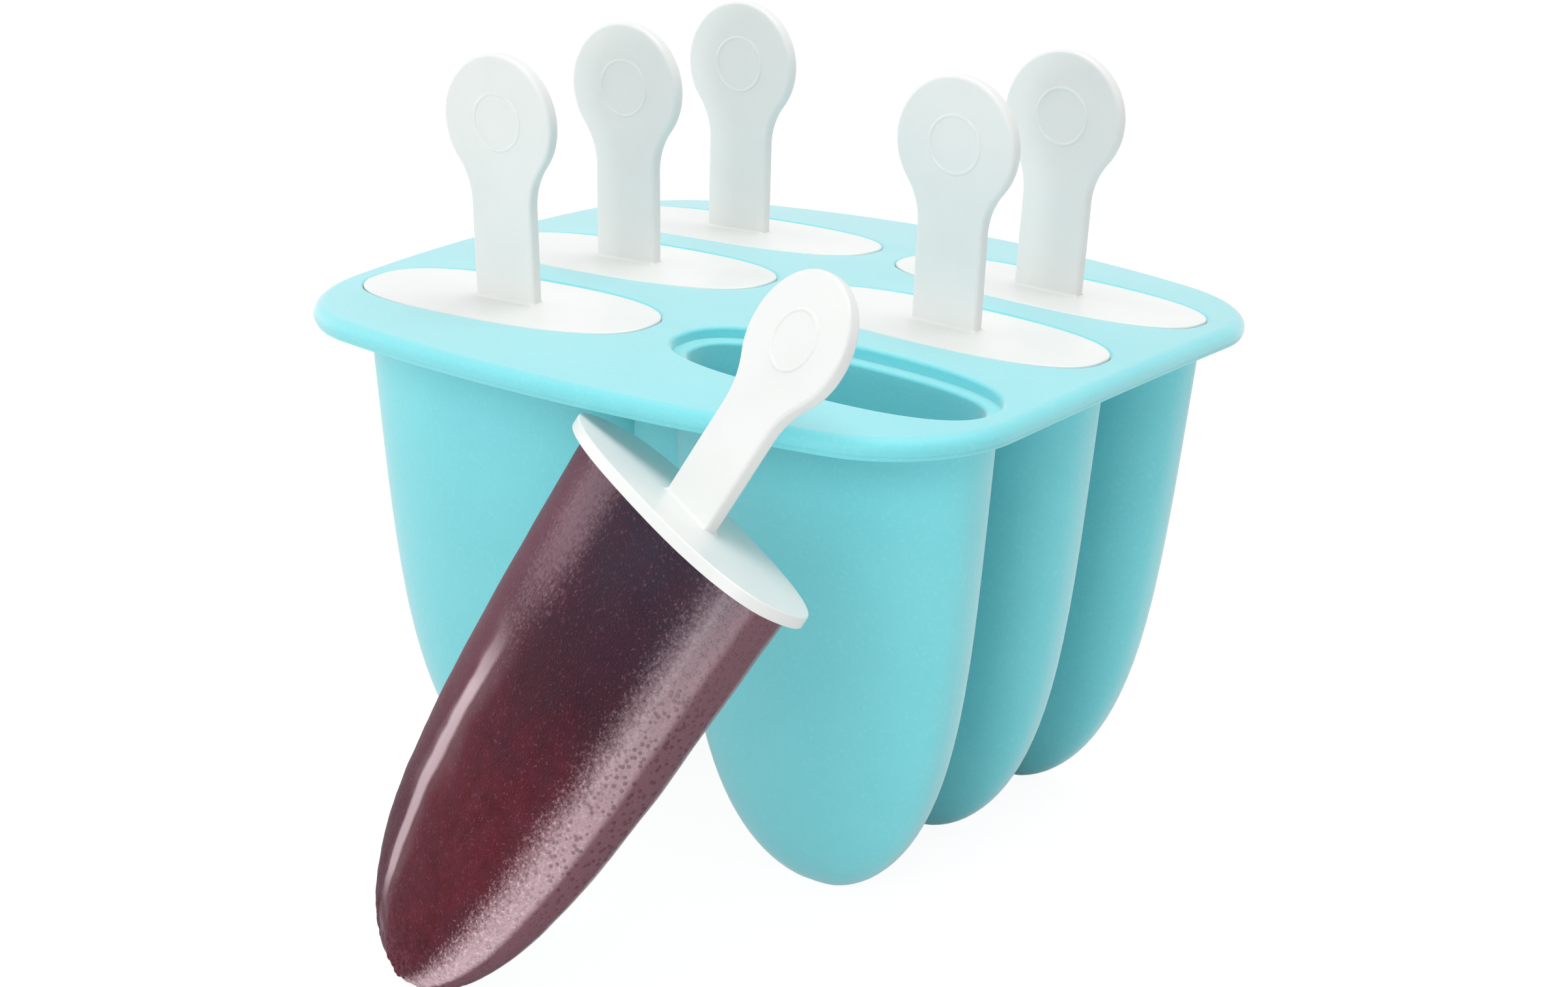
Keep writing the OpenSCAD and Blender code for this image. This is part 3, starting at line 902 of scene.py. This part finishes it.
def pop_layout(tree, place_vector):
    """Sockets that say where a point lies on the upright pop, with the noises that more layers share.

    around and near are the degrees round the oval, with a wide and with a narrow drift.
    """
    upright = LIFTED.inverted()
    along = add_node(tree, "ShaderNodeMapping", {"Vector": place_vector, "Location": upright.translation,
                                                 "Rotation": upright.to_euler()}).outputs[0]
    split = add_node(tree, "ShaderNodeSeparateXYZ", {0: along})
    turn = math_node(tree, "ARCTAN2", product(tree, split.outputs["Y"], 1 / HOLLOW_HALF_WID),
                     product(tree, split.outputs["X"], 1 / HOLLOW_HALF_LEN))
    degrees = product(tree, math_node(tree, "ABSOLUTE", turn), 180 / math.pi)
    drift = use_group(tree, DRIFT, along, Density=70.0, Contrast=2.2)
    bubbles = add_node(tree, "ShaderNodeTexVoronoi", {"Vector": along, "Scale": BUBBLE_DENSITY})
    return SimpleNamespace(
        along=along, drift=drift,
        share=product(tree, split.outputs["Z"], -1 / POP_DEPTH),
        around=math_node(tree, "ADD", degrees, math_node(tree, "MULTIPLY_ADD", drift, 12, -6)),
        near=math_node(tree, "MULTIPLY_ADD", drift, 3, math_node(tree, "SUBTRACT", degrees, 1.5)),
        grains=use_group(tree, GRAIN, along, Density=2600.0, Detail=3.0),
        specks=use_group(tree, GRAIN, along, Density=1500.0, Detail=2.0),
        domes=mask_between(tree, bubbles.outputs["Distance"], 0.42, 0.2))


# %% [markdown]
# ### The core and its rind, with painted reflection
# The juice has settled while it froze, so the colour runs from a bluish plum under the plate to deep red
# at the tip, with redder patches and paler clots in the lower half. Towards the pop's two edges the colour
# turns paler, partly as clearer ice and partly as a painted reflection of the skin seen at a glancing angle.
# Each of these is one tint over the last, so that any of them can be changed alone.

# %% Core and rind, with painted reflection
JUICE = [(0.0, rgb(50, 44, 60)), (0.12, rgb(48, 32, 48)), (0.36, rgb(52, 20, 34)), (0.62, rgb(76, 14, 26)),
         (1.0, rgb(72, 18, 30))]
# Paler left edge colours: partly clearer ice, partly painted reflection.
LEFT_RIND_AND_REFLECTION = [(0.0, rgb(112, 70, 84)), (0.45, rgb(104, 56, 72)), (0.75, rgb(80, 34, 50))]
RED_PATCH, PALE_CLOT = rgb(104, 20, 34), rgb(104, 42, 64)
# Paler flank and right edge colours: partly clearer ice, partly painted reflection.
FLANK_AND_REFLECTION, RIGHT_RIND_AND_REFLECTION = rgb(104, 50, 66), rgb(140, 102, 112)
FLANK_STOPS, LEFT_STOPS, RIGHT_STOPS = (84, 118), (106, 130), (30, 12)


def core_colour(tree, at):
    """Settled juice, with patches and clots."""
    wander = math_node(tree, "MULTIPLY_ADD", at.drift, 0.16, math_node(tree, "SUBTRACT", at.share, 0.08))
    settled = math_node(tree, "MULTIPLY_ADD", mask_between(tree, at.share, 0.3, 0.6), 0.4, 0.08)
    patches = use_group(tree, DRIFT, at.along, Density=190.0, Contrast=3.0)
    clots = use_group(tree, DRIFT, at.along, Density=420.0, Contrast=3.0)
    mottled = tint(tree, ramp(tree, wander, JUICE), RED_PATCH, patches, settled)
    return tint(tree, mottled, PALE_CLOT, clots, settled, 0.7)


def rind_and_reflection_colour(tree, at, core):
    """Paler towards both edges of the pop, partly as clearer ice and partly as painted reflection."""
    flank = tint(tree, core, FLANK_AND_REFLECTION, mask_between(tree, at.around, *FLANK_STOPS), 0.4)
    right = tint(tree, flank, RIGHT_RIND_AND_REFLECTION, mask_between(tree, at.around, *RIGHT_STOPS), 0.75)
    left = ramp(tree, at.share, LEFT_RIND_AND_REFLECTION)
    return tint(tree, right, left, mask_between(tree, at.around, *LEFT_STOPS), 0.85)


# %% [markdown]
# ### Frost, painted highlights, bubbles and streaks
# The skin has frosted over in a band near the right edge, and the band's pale colour is also a painted
# highlight, brighter towards the tip and with painted glints. The band starts sharply and then breaks up
# into specks as it thins out towards the middle. Its mask adds fine grain to the fade and cuts the sum off
# softly, so that the grain decides where the frost goes first. Small dark bubbles lie in the band, a painted
# highlight lies as a thin haze on the upper left, and a painted highlight streak runs down the lower left.

# %% Frost and painted highlights
# The band colour is frost and a painted highlight; the glint colour is a painted highlight.
SALT, FROST_HIGHLIGHT, PAINTED_GLINT = rgb(150, 100, 116), rgb(220, 188, 196), rgb(244, 224, 230)
# The haze and streak colours are painted highlights.
HAZE_HIGHLIGHT, BUBBLE, STREAK_HIGHLIGHT = rgb(176, 148, 158), rgb(84, 44, 58), rgb(208, 180, 188)
BAND_START, BAND_FULL, FROST_FULL, BAND_FADE = 13, 20, 22, (66, 26)
# Where the painted highlight of the haze lies.
HAZE_HIGHLIGHT_RISE, HAZE_HIGHLIGHT_FALL, HAZE_HIGHLIGHT_LENGTH = (84, 114), (138, 114), (0.62, 0.1)
BUBBLE_RISE, BUBBLE_FALL, BUBBLE_SIDE = (0.15, 0.3), (0.72, 0.6), (50, 34)
# Where the painted highlight streak lies.
STREAK_HIGHLIGHT_RISE, STREAK_HIGHLIGHT_FALL = (111, 114), (122, 119)
STREAK_HIGHLIGHT_TOP, STREAK_HIGHLIGHT_END = (0.34, 0.5), (0.92, 0.84)


def frost_and_highlight_colour(tree, at, ice):
    """Pale grains all over, coarser at the tip, and the frosted band, which is also a painted highlight,
    with painted glints.
    """
    coarse = product(tree, mask_between(tree, at.specks, 0.4, 0.6), mask_between(tree, at.share, 0.9, 1.0))
    salt = math_node(tree, "MAXIMUM", mask_between(tree, at.specks, 0.58, 0.72), coarse)
    salted = tint(tree, ice, SALT, salt, 0.3)
    fade = math_node(tree, "SUBTRACT", mask_between(tree, at.near, *BAND_FADE), 1.0)
    grain = product(tree, math_node(tree, "ADD", at.specks, at.grains), 0.7)
    dissolve = mask_between(tree, math_node(tree, "ADD", grain, fade), 0.0, 0.8)
    frost_highlight_mask = product(tree, mask_between(tree, at.near, BAND_START, FROST_FULL), dissolve)
    # The painted highlight grows brighter towards the tip.
    strength = math_node(tree, "MULTIPLY_ADD", at.share, 0.7, 0.3)
    frost_highlighted = tint(tree, salted, FROST_HIGHLIGHT, frost_highlight_mask, strength)
    # Painted glints in the lower part of the band.
    return tint(tree, frost_highlighted, PAINTED_GLINT, frost_highlight_mask, mask_between(tree, at.specks, 0.58, 0.7),
                mask_between(tree, at.share, 0.35, 0.8), 0.6)


def haze_highlight_colour(tree, at, ice):
    """A painted highlight, as a thin grainy haze on the upper left."""
    place = product(tree, peak_between(tree, at.near, HAZE_HIGHLIGHT_RISE, HAZE_HIGHLIGHT_FALL),
                    mask_between(tree, at.share, *HAZE_HIGHLIGHT_LENGTH))
    broken = math_node(tree, "MULTIPLY_ADD", at.specks, 1.2, math_node(tree, "SUBTRACT", place, 0.9))
    return tint(tree, ice, HAZE_HIGHLIGHT, mask_between(tree, broken, 0.0, 0.8), 0.36)


def bubble_colour(tree, at, ice):
    """Small dark bubbles in the upper and middle part of the band."""
    place = product(tree, peak_between(tree, at.share, BUBBLE_RISE, BUBBLE_FALL),
                    mask_between(tree, at.near, *BUBBLE_SIDE))
    return tint(tree, ice, BUBBLE, place, at.domes, 0.5)


def streak_highlight_colour(tree, at, ice):
    """A narrow painted highlight streak down the lower left."""
    return tint(tree, ice, STREAK_HIGHLIGHT, peak_between(tree, at.near, STREAK_HIGHLIGHT_RISE, STREAK_HIGHLIGHT_FALL),
                peak_between(tree, at.share, STREAK_HIGHLIGHT_TOP, STREAK_HIGHLIGHT_END), 0.75)


# %% [markdown]
# ### Wet and dry skin
# Only the band and the melted side carry a wet film. The film is a coat over the ice, and its weight
# follows those two places, while everything else stays dull. The frost's grain and the bubbles stand out
# a little in the bump.

# %% Pop finish
MELT_RISE, MELT_FALL, MELT_LENGTH = (100, 110), (128, 118), (0.3, 0.5)


def pop_finish():
    """Frozen juice with frost, painted highlights and reflections, bubbles and a wet film."""
    finish, tree, shader, place_vector = new_finish(
        "frozen_juice", IOR=1.33, Specular_IOR_Level=0.12, Coat_IOR=1.4, Coat_Roughness=0.28,
        Subsurface_Weight=0.04, Subsurface_Scale=2 * MM, Subsurface_Radius=(1.0, 0.35, 0.35))
    at = pop_layout(tree, place_vector)
    colour = rind_and_reflection_colour(tree, at, core_colour(tree, at))
    for layer in (frost_and_highlight_colour, haze_highlight_colour, bubble_colour, streak_highlight_colour):
        colour = layer(tree, at, colour)
    tree.links.new(colour, shader.inputs["Base Color"])
    tree.links.new(math_node(tree, "MULTIPLY_ADD", at.grains, 0.3, 0.2), shader.inputs["Roughness"])

    band = product(tree, mask_between(tree, at.near, BAND_START, BAND_FULL),
                   mask_between(tree, at.near, *BAND_FADE))
    melted = product(tree, peak_between(tree, at.around, MELT_RISE, MELT_FALL),
                     mask_between(tree, at.share, *MELT_LENGTH))
    film = math_node(tree, "MAXIMUM", product(tree, band, 0.8), product(tree, melted, 0.6))
    tree.links.new(math_node(tree, "MULTIPLY_ADD", film, 0.87, 0.03), shader.inputs["Coat Weight"])
    bubbly = math_node(tree, "MAXIMUM", band, mask_between(tree, at.around, *RIGHT_STOPS))
    heights = math_node(tree, "ADD", product(tree, at.domes, bubbly), at.grains)
    put_bump(tree, shader, heights, 0.6, 0.6 * MM)
    return finish


wear(ice_pop, pop_finish())
print("finish", ice_pop.data.materials[0].name)

# %% [markdown]
# ## A white studio
# The picture is a catalogue cut-out on pure white. The floor and the world are white to the camera and to
# reflections, while the light that reaches the object stays at a plain level. The floor keeps a part of
# its true shading, so the mould still stands in its own soft shadow.

# %% Floor and world
FLOOR_HALF, FLOOR_DROP = 4.0, 0.05 * MM
FLOOR_GLOW, FLOOR_WHITE = 0.82, 1.12
WORLD_LIGHT = 0.5


def white_floor():
    """A wide plane, mostly white to the camera, that still takes a soft shadow."""
    bpy.ops.object.select_all(action="DESELECT")
    bpy.ops.mesh.primitive_plane_add(size=2 * FLOOR_HALF, location=(0, 0, -FLOOR_DROP))
    floor = bpy.context.object
    floor.name = "floor"
    finish, tree, shader, _ = new_finish("floor_white", Base_Color=rgb(240, 240, 240), Roughness=0.9,
                                         Specular_IOR_Level=0.1)
    glow = add_node(tree, "ShaderNodeEmission", {"Color": (1, 1, 1, 1), "Strength": FLOOR_WHITE})
    path = add_node(tree, "ShaderNodeLightPath")
    seen = product(tree, path.outputs["Is Camera Ray"], FLOOR_GLOW)
    mixed = add_node(tree, "ShaderNodeMixShader", {0: seen, 1: shader.outputs[0], 2: glow.outputs[0]})
    tree.links.new(mixed.outputs[0], tree.nodes["Material Output"].inputs["Surface"])
    wear(floor, finish)


def white_world():
    """White to the camera, to reflections and through clear things, and a softer level as light."""
    world = bpy.data.worlds.new("studio")
    bpy.context.scene.world = world
    world.use_nodes = True
    tree = world.node_tree
    background = tree.nodes["Background"]
    background.inputs["Color"].default_value = (1, 1, 1, 1)
    path = add_node(tree, "ShaderNodeLightPath")
    mirrored = math_node(tree, "MAXIMUM", path.outputs["Is Glossy Ray"], path.outputs["Is Transmission Ray"])
    seen = math_node(tree, "MAXIMUM", path.outputs["Is Camera Ray"], mirrored)
    level = math_node(tree, "MULTIPLY_ADD", seen, 1 - WORLD_LIGHT, WORLD_LIGHT)
    tree.links.new(level, background.inputs["Strength"])


white_floor()
white_world()

# %% [markdown]
# ## Lamps
# Real softboxes give soft edges to every shadow, and so do wide area lamps. The one overhead is the
# strongest, a wide one in front fills the side that the camera sees, and smaller ones brighten the cups'
# sides. In the picture the lifted pop casts no shadow on the mould. Light linking does the same here: the
# light of each front lamp passes through the pieces that are listed with it.

# %% Lamps
OBJECT_MIDDLE = Vector((0, 0, 60 * MM))


def soft_lamp(name, heading, elevation, distance, size, power):
    """A softbox (width, height) that faces the object. Heading 0 is straight in front, positive is right."""
    turn, rise = math.radians(heading), math.radians(elevation)
    way = Vector((math.sin(turn) * math.cos(rise), -math.cos(turn) * math.cos(rise), math.sin(rise)))
    bpy.ops.object.light_add(type="AREA", location=OBJECT_MIDDLE + distance * way)
    lamp = bpy.context.object
    lamp.name = name
    lamp.data.shape = "RECTANGLE"
    lamp.data.size, lamp.data.size_y = size
    lamp.data.energy = power
    lamp.rotation_euler = (-way).to_track_quat("-Z", "Y").to_euler()
    return lamp


def let_through(lamp, pieces):
    """These pieces cast no shadow from this lamp."""
    clear = bpy.data.collections.new(f"clear_{lamp.name}")
    for piece in pieces:
        clear.objects.link(piece)
    for member in clear.collection_objects:
        member.light_linking.link_state = "EXCLUDE"
    lamp.light_linking.blocker_collection = clear


lifted = [ice_pop, sticks["front_right"]]
let_through(soft_lamp("key_left", -60, 40, 1.4, (0.9, 0.9), 0.6), lifted)
let_through(soft_lamp("front_box", -8, 4, 1.2, (0.2, 0.26), 1.8), lifted)
let_through(soft_lamp("camera_fill", 8, 30, 1.4, (0.8, 0.4), 4.4), [ice_pop, *sticks.values()])
soft_lamp("left_strip", -84, 9, 1.2, (0.12, 0.4), 1.4)
soft_lamp("right_edge", 115, 20, 1.3, (0.5, 0.6), 0.9)
soft_lamp("overhead", 160, 80, 1.3, (0.9, 0.9), 9.2)
bpy.context.scene.view_settings.view_transform = "Standard"
